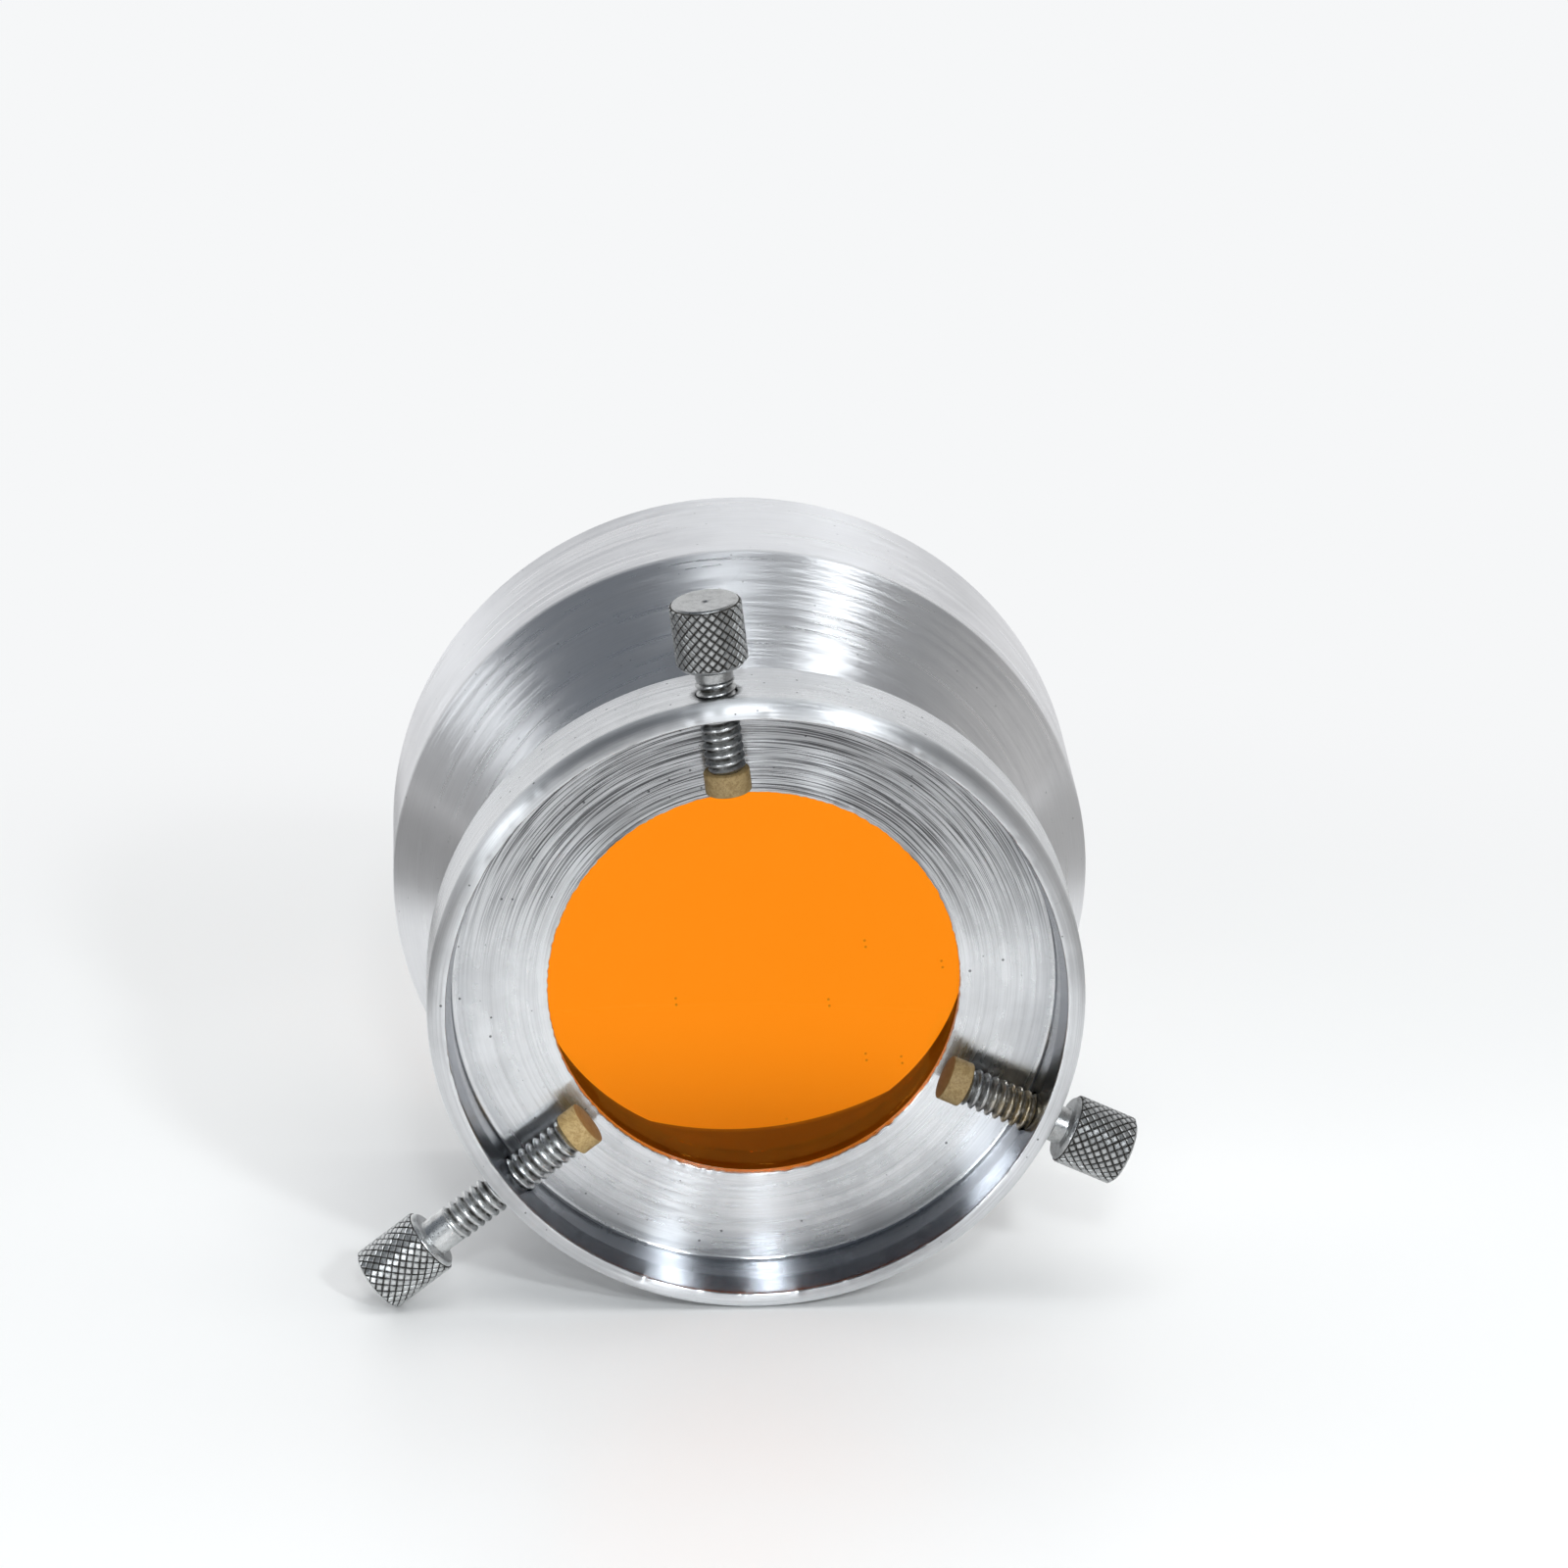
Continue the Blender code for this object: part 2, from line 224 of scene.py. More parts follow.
def wire_profile(bm, corners, closed=True):
    """Edges through corners of (radius, station, rounding), the rounded ones bevelled."""
    points = [bm.verts.new((radius, 0.0, station)) for radius, station, _ in corners]
    ends = points[1:] + points[:1] if closed else points[1:]
    for first, second in zip(points, ends):
        bm.edges.new((first, second))
    for point, (_, _, rounding) in zip(points, corners):
        if rounding:
            # Only a rounding as large as the lip's needs many segments.
            bmesh.ops.bevel(
                bm,
                geom=[point],
                offset=rounding,
                offset_type="OFFSET",
                segments=8 if rounding > 0.5 * MM else 3,
                profile=0.5,
                affect="VERTICES",
                material=-1,
            )


def turn(corners, steps, closed=True):
    """A profile spun once round local Z."""
    bm = bmesh.new()
    wire_profile(bm, corners, closed)
    bmesh.ops.spin(
        bm,
        geom=bm.verts[:] + bm.edges[:],
        cent=(0.0, 0.0, 0.0),
        axis=(0.0, 0.0, 1.0),
        angle=math.tau,
        steps=steps,
        use_merge=True,
    )
    bmesh.ops.remove_doubles(bm, verts=bm.verts, dist=MERGE_DISTANCE)
    bmesh.ops.recalc_face_normals(bm, faces=bm.faces)
    return bm


def add_thread(bm, radius, depth, pitch, low, high, steps, core=0.0):
    """A helical thread from station low to high: one ridge spun up the axis, cut square and
    closed with a flat cap, or down to the core's radius where one is given.
    """
    ridge = bmesh.new()
    points = [
        ridge.verts.new((radius - depth * sunk, 0.0, low - pitch + pitch * along))
        for along, sunk in THREAD_SHAPE
    ]
    for first, second in zip(points, points[1:]):
        ridge.edges.new((first, second))
    turns = math.ceil((high - low) / pitch) + 2
    bmesh.ops.spin(
        ridge,
        geom=ridge.verts[:] + ridge.edges[:],
        cent=(0.0, 0.0, 0.0),
        axis=(0.0, 0.0, 1.0),
        dvec=(0.0, 0.0, pitch / steps),
        angle=math.tau * turns,
        steps=steps * turns,
        use_merge=False,
    )
    bmesh.ops.remove_doubles(ridge, verts=ridge.verts, dist=2.0 * MERGE_DISTANCE)
    for station, side in ((low, -1.0), (high, 1.0)):
        bmesh.ops.bisect_plane(
            ridge,
            geom=ridge.verts[:] + ridge.edges[:] + ridge.faces[:],
            plane_co=(0.0, 0.0, station),
            plane_no=(0.0, 0.0, side),
            clear_outer=True,
            dist=MERGE_DISTANCE,
        )
    rims = [edge for edge in ridge.edges if edge.is_boundary]
    if core:
        inner = bmesh.ops.extrude_edge_only(ridge, edges=rims)["geom"]
        for vert in (item for item in inner if isinstance(item, bmesh.types.BMVert)):
            vert.co.xy = vert.co.xy.normalized() * core
        rims = [edge for edge in ridge.edges if edge.is_boundary]
        bmesh.ops.bridge_loops(ridge, edges=rims)
    else:
        middle = (low + high) / 2
        lower = [edge for edge in rims if edge.verts[0].co.z < middle]
        upper = [edge for edge in rims if edge.verts[0].co.z > middle]
        bmesh.ops.contextual_create(ridge, geom=lower)
        bmesh.ops.contextual_create(ridge, geom=upper)
    bmesh.ops.recalc_face_normals(ridge, faces=ridge.faces)
    # A thread holds less dirt than a knurl.
    dirt = ridge.verts.layers.float.new("dirt")
    for vert in ridge.verts:
        vert[dirt] = 0.6 * min(1.0, max(0.0, (radius - vert.co.xy.length) / depth))
    merge_into(bm, ridge)


def merge_into(bm, other):
    """Adds another bmesh to this one and frees it."""
    mesh = bpy.data.meshes.new("part")
    other.to_mesh(mesh)
    other.free()
    bm.from_mesh(mesh)
    bpy.data.meshes.remove(mesh)


def add_knurl(bm, radius, depth, low, high, starts):
    """A sleeve of raised diamonds: a grid of squares split into diamonds, each one inset and
    lifted.
    """
    sleeve = bmesh.new()
    rows = max(2, round((high - low) / (math.tau * radius / starts)))
    foot = sleeve.verts.new((radius - depth, 0.0, low))
    lift = (high - low) / rows
    for row in range(rows):
        head = sleeve.verts.new((radius - depth, 0.0, low + lift * (row + 1)))
        sleeve.edges.new((foot, head))
        foot = head
    bmesh.ops.spin(
        sleeve,
        geom=sleeve.verts[:] + sleeve.edges[:],
        cent=(0.0, 0.0, 0.0),
        axis=(0.0, 0.0, 1.0),
        angle=math.tau,
        steps=starts,
        use_merge=True,
    )
    bmesh.ops.remove_doubles(sleeve, verts=sleeve.verts, dist=MERGE_DISTANCE)
    bmesh.ops.recalc_face_normals(sleeve, faces=sleeve.faces)
    squares = [edge for edge in sleeve.edges if not edge.is_boundary]
    for vert in bmesh.ops.poke(sleeve, faces=sleeve.faces[:])["verts"]:
        vert.co.xy = vert.co.xy.normalized() * (radius - depth)
    bmesh.ops.dissolve_edges(sleeve, edges=squares, use_verts=False)
    dirt = sleeve.verts.layers.float.new("dirt")
    for vert in sleeve.verts:
        vert[dirt] = 1.0
    lattice = set(sleeve.verts)
    bmesh.ops.inset_individual(
        sleeve,
        faces=sleeve.faces[:],
        thickness=depth * 0.75,
        depth=0.0,
        use_even_offset=True,
    )
    for vert in sleeve.verts:
        if vert not in lattice:
            vert.co.xy = vert.co.xy.normalized() * radius
            vert[dirt] = 0.0
    # Both ends turn inwards, into the head, and are joined there.
    rims = [edge for edge in sleeve.edges if edge.is_boundary]
    inner = bmesh.ops.extrude_edge_only(sleeve, edges=rims)["geom"]
    for vert in (item for item in inner if isinstance(item, bmesh.types.BMVert)):
        vert.co.xy *= 0.8
    bmesh.ops.bridge_loops(sleeve, edges=[edge for edge in sleeve.edges if edge.is_boundary])
    bmesh.ops.recalc_face_normals(sleeve, faces=sleeve.faces)
    merge_into(bm, sleeve)


def finish_piece(bm, name, matrix, materials, body, node):
    """Puts a finished shape in its place as a piece of the object."""
    bm.transform(matrix)
    for face in bm.faces:
        face.smooth = True
    for edge in bm.edges:
        edge.smooth = len(edge.link_faces) == 2 and edge.calc_face_angle() < SHARP_ANGLE
    mesh = bpy.data.meshes.new(name)
    bm.to_mesh(mesh)
    bm.free()
    for material in materials:
        mesh.materials.append(material)
    piece = bpy.data.objects.new(name, mesh)
    bpy.context.scene.collection.objects.link(piece)
    # Large faces keep their own normals, so that a flat next to a rounding looks flat.
    weighted = piece.modifiers.new("Weighted normals", "WEIGHTED_NORMAL")
    weighted.mode = "FACE_AREA"
    weighted.weight = 100
    weighted.keep_sharp = True
    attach(piece, body)
    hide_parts(node)


def drill(bm, holes, radius):
    """Cuts round holes along the given (matrix, low, high) axes."""
    mesh = bpy.data.meshes.new("undrilled")
    bm.to_mesh(mesh)
    bm.free()
    blank = bpy.data.objects.new("undrilled", mesh)
    bpy.context.scene.collection.objects.link(blank)
    drills = []
    for matrix, low, high in holes:
        bit_mesh = bpy.data.meshes.new("drill")
        bit = bmesh.new()
        bmesh.ops.create_cone(
            bit,
            cap_ends=True,
            segments=DRILL_SEGMENTS,
            radius1=radius,
            radius2=radius,
            depth=high - low,
            matrix=matrix @ Matrix.Translation((0.0, 0.0, (low + high) / 2)),
        )
        bit.to_mesh(bit_mesh)
        bit.free()
        cutter = bpy.data.objects.new("drill", bit_mesh)
        bpy.context.scene.collection.objects.link(cutter)
        hole = blank.modifiers.new("Hole", "BOOLEAN")
        hole.operation = "DIFFERENCE"
        hole.solver = "EXACT"
        hole.object = cutter
        drills.append(cutter)
    graph = bpy.context.evaluated_depsgraph_get()
    drilled = bmesh.new()
    drilled.from_object(blank, graph)
    for tool in [blank, *drills]:
        used = tool.data
        bpy.data.objects.remove(tool)
        bpy.data.meshes.remove(used)
    return drilled


# Places


def optical_axis(sizes):
    """Local Z backwards along the optical axis and local Y down, from the front lip's middle."""
    backwards = Vector(JOINTS["hood_travel"]["axis"]).normalized()
    on_axis = Vector(JOINTS["hood_turn"]["pos_m"])
    seat = Vector(MOUNTS["lens_seat"]["pos_m"])
    lip = on_axis + backwards * ((seat - on_axis).dot(backwards) - sizes.cup_depth)
    across = Vector((1.0, 0.0, 0.0))
    downwards = backwards.cross(across)
    turned = Matrix((across, downwards, backwards)).transposed().to_4x4()
    return Matrix.Translation(lip) @ turned


def screw_axis(place):
    """Local Z outwards along a thumbscrew, from the end of its thread."""
    joint = JOINTS[f"screw_{place}_turn"]
    outwards = -Vector(joint["axis"]).normalized()
    backwards = Vector(JOINTS["hood_travel"]["axis"]).normalized()
    across = backwards.cross(outwards).normalized()
    turned = Matrix((across, outwards.cross(across), outwards)).transposed().to_4x4()
    return Matrix.Translation(Vector(joint["pos_m"])) @ turned


# Finishes


# A Map Range takes the value, the two ends it runs between, and what it is at each end.
SMOOTH = {"interpolation_type": "SMOOTHSTEP"}


def add_node(tree, kind, inputs=(), **settings):
    """Adds one shader node with its settings. The inputs come in order or by name, and each
    is a value, a socket, or a node whose first output in use is linked.
    """
    node = tree.nodes.new(f"ShaderNode{kind}")
    for name, value in settings.items():
        setattr(node, name, value)
    used = [socket for socket in node.inputs if socket.enabled]
    named = {socket.name: socket for socket in used}
    given = inputs.items() if isinstance(inputs, dict) else enumerate(inputs)
    for key, value in given:
        socket = named[key] if isinstance(key, str) else used[key]
        if isinstance(value, bpy.types.Node):
            value = next(output for output in value.outputs if output.enabled)
        if isinstance(value, bpy.types.NodeSocket):
            tree.links.new(value, socket)
        else:
            socket.default_value = value
    return node


def new_finish(name):
    """An empty material, and add_node for its tree."""
    material = bpy.data.materials.get(name) or bpy.data.materials.new(name)
    material.use_nodes = True
    material.node_tree.nodes.clear()
    return material, partial(add_node, material.node_tree)


def shaded(tint, red, green=None, blue=None):
    """A colour times one factor, or its red, green and blue each times its own."""
    factors = (red, red if green is None else green, red if blue is None else blue)
    return (*(part * factor for part, factor in zip(tint, factors)), 1.0)


def on_axis_coordinates(add, matrix):
    """Object coordinates in millimetres, measured in a turned piece's own axes."""
    return add(
        "Mapping",
        {
            "Vector": add("TexCoord").outputs["Object"],
            "Location": matrix.translation,
            "Rotation": matrix.to_euler(),
            "Scale": (MM, MM, MM),
        },
        vector_type="TEXTURE",
    )


def turning_direction(add, matrix, marks):
    """The way the lathe marks run in world space: round the axis, each mark a little askew."""
    place = add("TexCoord").outputs["Object"]
    arm = add("VectorMath", (place, matrix.translation), operation="SUBTRACT")
    across = add("VectorMath", (matrix.to_3x3().col[2], arm), operation="CROSS_PRODUCT")
    world = add(
        "VectorTransform",
        (across,),
        vector_type="VECTOR",
        convert_from="OBJECT",
        convert_to="WORLD",
    )
    tangent = add("VectorMath", (world,), operation="NORMALIZE")
    normal = add("NewGeometry").outputs["Normal"]
    aside = add("VectorMath", (normal, tangent), operation="CROSS_PRODUCT")
    slant = add("MapRange", (marks, 0.3, 0.7, -0.08, 0.08), **SMOOTH)
    askew = add("VectorMath", (aside, slant), operation="SCALE")
    return add("VectorMath", (tangent, askew), operation="ADD")


def shade_and_grime_near_screws(add):
    """1 beside a thumbscrew's hole, falling to 0 half a millimetre away: where painted shade and
    grime darken the ring.
    """
    place = add("TexCoord").outputs["Object"]
    nearest = 1.0
    for screw in PLACES:
        matrix = screw_axis(screw)
        outwards = matrix.to_3x3().col[2]
        arm = add("VectorMath", (place, matrix.translation), operation="SUBTRACT")
        across = add("VectorMath", (arm, outwards), operation="CROSS_PRODUCT")
        away = add("VectorMath", (across,), operation="LENGTH")
        # The axis meets the ring again on the far side, where there is no hole.
        along = add("VectorMath", (arm, outwards), operation="DOT_PRODUCT")
        opposite = add("Math", (along, 0.0), operation="LESS_THAN")
        away = add("Math", (away, opposite), operation="ADD")
        nearest = add("Math", (nearest, away), operation="MINIMUM")
    # The edge of the painted shade and grime wanders every millimetre or so.
    uneven = add("TexNoise", {"Vector": place, "Scale": 900.0, "Detail": 2.0})
    uneven = add("Math", (uneven, 0.9 * MM), operation="MULTIPLY")
    grimy = add("Math", (nearest, uneven), operation="SUBTRACT")
    return add("MapRange", (grimy, 1.4 * MM, 1.95 * MM, 1.0, 0.0), **SMOOTH)


def marked_web(add, tint, place, radius, marks, cup):
    """The tint of the lens cup with dark marks on the web, strongest at its top and fading out
    just below its middle, and painted shade and grime beside the screws' holes.
    """
    bore, web, back = cup.lens_bore / MM, cup.cup_depth / MM, cup.web_back / MM
    # Dark marks on the web, strongest at its top and fading out just below its middle.
    upper_marks = add("MapRange", (radius, bore + 0.4, bore + 0.1), **SMOOTH)
    close = add("TexNoise", {"Vector": marks, "Scale": 1.5, "Detail": 3.0, "Roughness": 0.6})
    for mask in (
        add("MapRange", (place["Z"], web - 1.0, web - 0.1), **SMOOTH),
        add("MapRange", (place["Z"], back + 0.7, back + 0.1), **SMOOTH),
        add("MapRange", (place["Y"], 2.0, -15.0), **SMOOTH),
        add("MapRange", (close, 0.4, 0.56, 0.95, 0.3325), **SMOOTH),
    ):
        upper_marks = add("Math", (upper_marks, mask), operation="MULTIPLY")
    tint = add("Mix", (upper_marks, tint, linear_colour("#4B4B4D")), data_type="RGBA")
    # Round each screw's hole the ring is darkened: painted shade where screw and ring meet, with
    # grime.
    shaded_and_grimy = add("Mix", (0.8, tint, linear_colour("#30302F")), data_type="RGBA")
    return add("Mix", (shade_and_grime_near_screws(add), tint, shaded_and_grimy), data_type="RGBA")


def bored_cup(add, tint, rough, place, radius, cup):
    """The tint and roughness of the lens cup with its bore, which goes over the lens, finished
    smoother than the faces and painted darker and bluer as painted shade and reflection, and its
    lip handled dull.
    """
    bore, web = cup.lens_bore / MM, cup.cup_depth / MM
    inside = add("MapRange", (radius, bore + 0.55, bore + 0.45), **SMOOTH)
    before = add("MapRange", (place["Z"], web - 0.02, web - 0.15), **SMOOTH)
    bored = add("Math", (inside, before), operation="MULTIPLY")
    smoother = add("MapRange", (bored, 0.0, 1.0, 1.0, 0.5), **SMOOTH)
    rough = add("Math", (rough, smoother), operation="MULTIPLY")
    # The bore is painted darker and bluer: a painted reflection of the dark room, with painted
    # shade.
    bored = add("Math", (bored, 0.6), operation="MULTIPLY")
    tint = add("Mix", (bored, tint, linear_colour("#59616F")), data_type="RGBA")
    outside = add("MapRange", (radius, bore + 0.5, bore + 0.9), **SMOOTH)
    front = add("MapRange", (place["Z"], 1.4, 1.0), **SMOOTH)
    handled = add("Math", (outside, front), operation="MULTIPLY")
    handled = add("Math", (handled, 0.14), operation="MULTIPLY")
    return tint, add("Math", (rough, handled), operation="ADD")


def turned_aluminium(name, base, matrix, roughness, wear, arc, cup=None):
    """Bare aluminium turned on a lathe: fine rings round the axis that smear highlights across
    them, with handling scratches, pits and a dull film.

    Wear is how much of these there is, arc is about how many millimetres a tool mark runs
    round the piece, and cup is the sizes of the lens cup, where the piece has one.
    """
    material, add = new_finish(name)
    local = on_axis_coordinates(add, matrix)
    place = add("SeparateXYZ", (local,)).outputs
    flat = add("CombineXYZ", (place["X"], place["Y"]))
    radius = add("VectorMath", (flat,), operation="LENGTH")
    across = add("Math", (radius, place["Z"]), operation="ADD")

    # Rings left by the tool, 0.05 mm apart, drawn at 0.15 mm so that they show.
    marks = add(
        "CombineXYZ",
        (
            add("Math", (across, 6.0), operation="MULTIPLY"),
            add("Math", (place["X"], 1.0 / arc), operation="MULTIPLY"),
            add("Math", (place["Y"], 1.0 / arc), operation="MULTIPLY"),
        ),
    )
    fine = add("TexNoise", {"Vector": marks, "Scale": 1.0, "Detail": 4.0, "Roughness": 0.7})
    coarse = add("TexNoise", {"Vector": marks, "Scale": 0.2, "Detail": 2.0, "Roughness": 0.6})
    # Handling scratches 0.05 mm wide and some 15 mm long, in two directions.
    scratches = 0.0
    for turned, start in (((0.2, 0.3, 0.9), 0.0), ((-0.3, -0.4, -0.6), 40.0)):
        drawn = add(
            "Mapping",
            {
                "Vector": local,
                "Location": (start, 0.0, 0.0),
                "Rotation": turned,
                "Scale": (12.0, 0.33, 0.33),
            },
            vector_type="TEXTURE",
        )
        lines = add("TexNoise", {"Vector": drawn, "Scale": 1.0, "Detail": 1.0})
        lines = add("MapRange", (lines, 0.74, 0.8), **SMOOTH)
        scratches = add("Math", (scratches, lines), operation="MAXIMUM")
    # Pits of 0.1 to 0.2 mm, in some of the cells that are 0.9 mm across; the cup has more.
    dots = add("TexVoronoi", {"Vector": local, "Scale": 1.1}, feature="F1")
    chances = add("SeparateColor", (dots.outputs["Color"],)).outputs
    least = 0.66 if cup else 0.72
    chosen = add("MapRange", (chances[0], least, least + 0.02), **SMOOTH)
    breadth = add("MapRange", (chances[1], 0.0, 1.0, 0.04, 0.13), **SMOOTH)
    pits = add("Math", (dots.outputs["Distance"], breadth), operation="LESS_THAN")
    pits = add("Math", (pits, chosen), operation="MULTIPLY")
    # The dull film lies in patches of some 9 mm.
    film = add("TexNoise", {"Vector": local, "Scale": 0.11, "Detail": 5.0, "Roughness": 0.65})

    darker = shaded(base, 0.6)
    filmed = add("MapRange", (film, 0.4, 0.75, 0.0, 0.3 * wear), **SMOOTH)
    tint = add("Mix", (filmed, base, darker), data_type="RGBA")
    troughs = add("MapRange", (fine, 0.3, 0.6, 0.35 * wear, 0.0), **SMOOTH)
    tint = add("Mix", (troughs, tint, darker), data_type="RGBA")
    if cup:
        tint = marked_web(add, tint, place, radius, marks, cup)
    scored = add("Math", (scratches, 0.15 * wear), operation="MULTIPLY")
    tint = add("Mix", (scored, tint, linear_colour("#959597")), data_type="RGBA")
    pitted = add("Math", (pits, 0.75 * wear), operation="MULTIPLY")
    tint = add("Mix", (pitted, tint, linear_colour("#3F3F42")), data_type="RGBA")
    rough = add("MapRange", (coarse, 0.3, 0.7, roughness * 0.85, roughness * 1.15), **SMOOTH)
    dulled = add("MapRange", (film, 0.4, 0.8, 0.0, 0.09 * wear), **SMOOTH)
    rough = add("Math", (rough, dulled), operation="ADD")
    if cup:
        tint, rough = bored_cup(add, tint, rough, place, radius, cup)

    ridges = add("Math", (fine, 0.5), operation="MULTIPLY")
    ridges = add("Math", (ridges, coarse), operation="ADD")
    sunk = add("Math", (scratches, 0.25), operation="MULTIPLY")
    sunk = add("Math", (sunk, pits), operation="MAXIMUM")
    sunk = add("Math", (sunk, 0.8 * wear), operation="MULTIPLY")
    height = add("Math", (ridges, sunk), operation="SUBTRACT")
    shader = add(
        "BsdfPrincipled",
        {
            "Base Color": tint,
            "Metallic": 1.0,
            "Roughness": rough,
            "Anisotropic": 1.0,
            "Anisotropic Rotation": 0.25,
            "Normal": add("Bump", {"Strength": 0.5, "Distance": 0.014 * MM, "Height": height}),
            "Tangent": turning_direction(add, matrix, fine),
        },
    )
    add("OutputMaterial", {"Surface": shader})
    return material


def matt_paint(name, base, matrix):
    """Matt black lacquer brushed inside a sunshade: a dusty, slightly uneven film."""
    material, add = new_finish(name)
    local = on_axis_coordinates(add, matrix)
    # Dust in patches of 3 mm, on a grain of 0.3 mm.
    dust = add("TexNoise", {"Vector": local, "Scale": 0.35, "Detail": 5.0, "Roughness": 0.65})
    grain = add("TexNoise", {"Vector": local, "Scale": 3.0, "Detail": 2.0})
    dusty = add("MapRange", (dust, 0.4, 0.8, 0.0, 0.35), **SMOOTH)
    shader = add(
        "BsdfPrincipled",
        {
            "Base Color": add("Mix", (dusty, base, linear_colour("#555250")), data_type="RGBA"),
            "Roughness": add("MapRange", (dust, 0.3, 0.8, 0.42, 0.6), **SMOOTH),
            "Normal": add("Bump", {"Strength": 0.3, "Distance": 0.02 * MM, "Height": grain}),
        },
    )
    add("OutputMaterial", {"Surface": shader})
    return material


def filter_glass(name, base, matrix):
    """Dyed optical glass, polished: clear orange, with some specks of dust and wipe marks."""
    material, add = new_finish(name)
    local = on_axis_coordinates(add, matrix)
    # Specks of 0.2 mm, in a few of the cells that are 3 mm across.
    dots = add(
        "TexVoronoi", {"Vector": local, "Scale": 0.3}, feature="F1", voronoi_dimensions="2D"
    )
    chance = add("SeparateColor", (dots.outputs["Color"],))
    chosen = add("MapRange", (chance, 0.9, 0.93), **SMOOTH)
    specks = add("MapRange", (dots.outputs["Distance"], 0.025, 0.04, 0.7, 0.0), **SMOOTH)
    specks = add("Math", (specks, chosen), operation="MULTIPLY")
    # Wipe marks some 8 mm across.
    wiped = add("TexNoise", {"Vector": local, "Scale": 0.12, "Detail": 3.0})
    shader = add(
        "BsdfPrincipled",
        {
            "Base Color": add("Mix", (specks, base, linear_colour("#613000")), data_type="RGBA"),
            "Roughness": add("MapRange", (wiped, 0.4, 0.8, 0.0, 0.015), **SMOOTH),
            "IOR": 1.52,
            "Transmission Weight": 1.0,
            "Specular Tint": linear_colour("#FFAA3F"),
            "Normal": add("Bump", {"Strength": 0.02, "Distance": 0.01 * MM, "Height": wiped}),
        },
    )
    add("OutputMaterial", {"Surface": shader})
    return material


def plated_steel(name, base, grime, tarnish, matrix, tarnished):
    """Nickel-plated steel, rolled and knurled: satin ridges worn bright, dirt packed in the
    grooves, and on the thread as much golden tarnish as tarnished says.
    """
    material, add = new_finish(name)
    local = on_axis_coordinates(add, matrix)
    # Wear in patches of 0.8 mm, on a grain of 0.15 mm.
    patchy = add("TexNoise", {"Vector": local, "Scale": 1.3, "Detail": 3.0, "Roughness": 0.6})
    grain = add("TexNoise", {"Vector": local, "Scale": 7.0, "Detail": 2.0})
    # The mesh says how deep in its grooves each point lies.
    dirt = add("Attribute", attribute_name="dirt").outputs["Fac"]
    uneven = add("Math", (patchy, 0.5), operation="SUBTRACT")
    uneven = add("Math", (uneven, 0.9), operation="MULTIPLY")
    packed = add("Math", (dirt, uneven), operation="ADD")
    packed = add("MapRange", (packed, 0.25, 0.7), **SMOOTH)
    worn = add("MapRange", (patchy, 0.42, 0.72, 0.0, 0.5), **SMOOTH)
    tint = add("Mix", (worn, base, shaded(base, 0.45)), data_type="RGBA")
    # Tarnish lies on the thread's first 8 mm, and least at its free end.
    along = add("SeparateXYZ", (local,)).outputs["Z"]
    rising = add("MapRange", (along, 1.0, 4.5), **SMOOTH)
    falling = add("MapRange", (along, 8.0, 7.0), **SMOOTH)
    threaded = add("Math", (rising, falling), operation="MULTIPLY")
    stained = add("MapRange", (patchy, 0.3, 0.6, 0.3 * tarnished, tarnished), **SMOOTH)
    stained = add("Math", (threaded, stained), operation="MULTIPLY")
    tint = add("Mix", (stained, tint, tarnish), data_type="RGBA")
    satin = add("MapRange", (grain, 0.3, 0.7, 0.26, 0.42), **SMOOTH)
    caked = add("Math", (packed, 0.35), operation="MULTIPLY")
    height = add("Math", (grain, patchy), operation="ADD")
    shader = add(
        "BsdfPrincipled",
        {
            "Base Color": add("Mix", (packed, tint, grime), data_type="RGBA"),
            "Metallic": add("MapRange", (packed, 0.0, 1.0, 1.0, 0.25), **SMOOTH),
            "Roughness": add("Math", (satin, caked), operation="ADD"),
            "Normal": add("Bump", {"Strength": 0.5, "Distance": 0.015 * MM, "Height": height}),
        },
    )
    add("OutputMaterial", {"Surface": shader})
    return material


def bare_wood(name, base, matrix, end):
    """Bare boxwood turned to a plug: fine straight grain with darker pores, and painted darker
    and browner at the end that presses on the lens, as painted shade with the filter's orange
    glow; end is where it lies, in millimetres along the screw.
    """
    material, add = new_finish(name)
    local = on_axis_coordinates(add, matrix)
    # Growth rings 0.4 mm apart, at a slant across the tip, and pores of 0.05 mm drawn at 0.1 mm
    # so that they show.
    slanted = add(
        "Mapping",
        {"Vector": local, "Rotation": (0.5, 0.9, 0.3), "Scale": (1.0, 5.0, 1.0)},
        vector_type="TEXTURE",
    )
    rings = add("TexNoise", {"Vector": slanted, "Scale": 2.5, "Detail": 3.0, "Roughness": 0.6})
    pores = add("TexNoise", {"Vector": slanted, "Scale": 9.0, "Detail": 3.0, "Roughness": 0.7})
    darker = shaded(base, 0.55, 0.45, 0.32)
    ringed = add("MapRange", (rings, 0.35, 0.7, 0.0, 0.65), **SMOOTH)
    tint = add("Mix", (ringed, base, darker), data_type="RGBA")
    porous = add("MapRange", (pores, 0.5, 0.65, 0.0, 0.75), **SMOOTH)
    tint = add("Mix", (porous, tint, darker), data_type="RGBA")
    along = add("SeparateXYZ", (local,)).outputs["Z"]
    # The end face is painted darker and browner: painted shade with the orange glow of the
    # filter.
    end_shade_and_glow = add("MapRange", (along, end + 0.07, end + 0.02, 0.0, 0.7), **SMOOTH)
    tint = add("Mix", (end_shade_and_glow, tint, shaded(base, 0.5, 0.34, 0.22)), data_type="RGBA")
    shader = add(
        "BsdfPrincipled",
        {
            "Base Color": tint,
            "Roughness": add("MapRange", (rings, 0.0, 1.0, 0.55, 0.72), **SMOOTH),
            "Normal": add("Bump", {"Strength": 0.4, "Distance": 0.03 * MM, "Height": pores}),
        },
    )
    add("OutputMaterial", {"Surface": shader})
    return material


# Operators


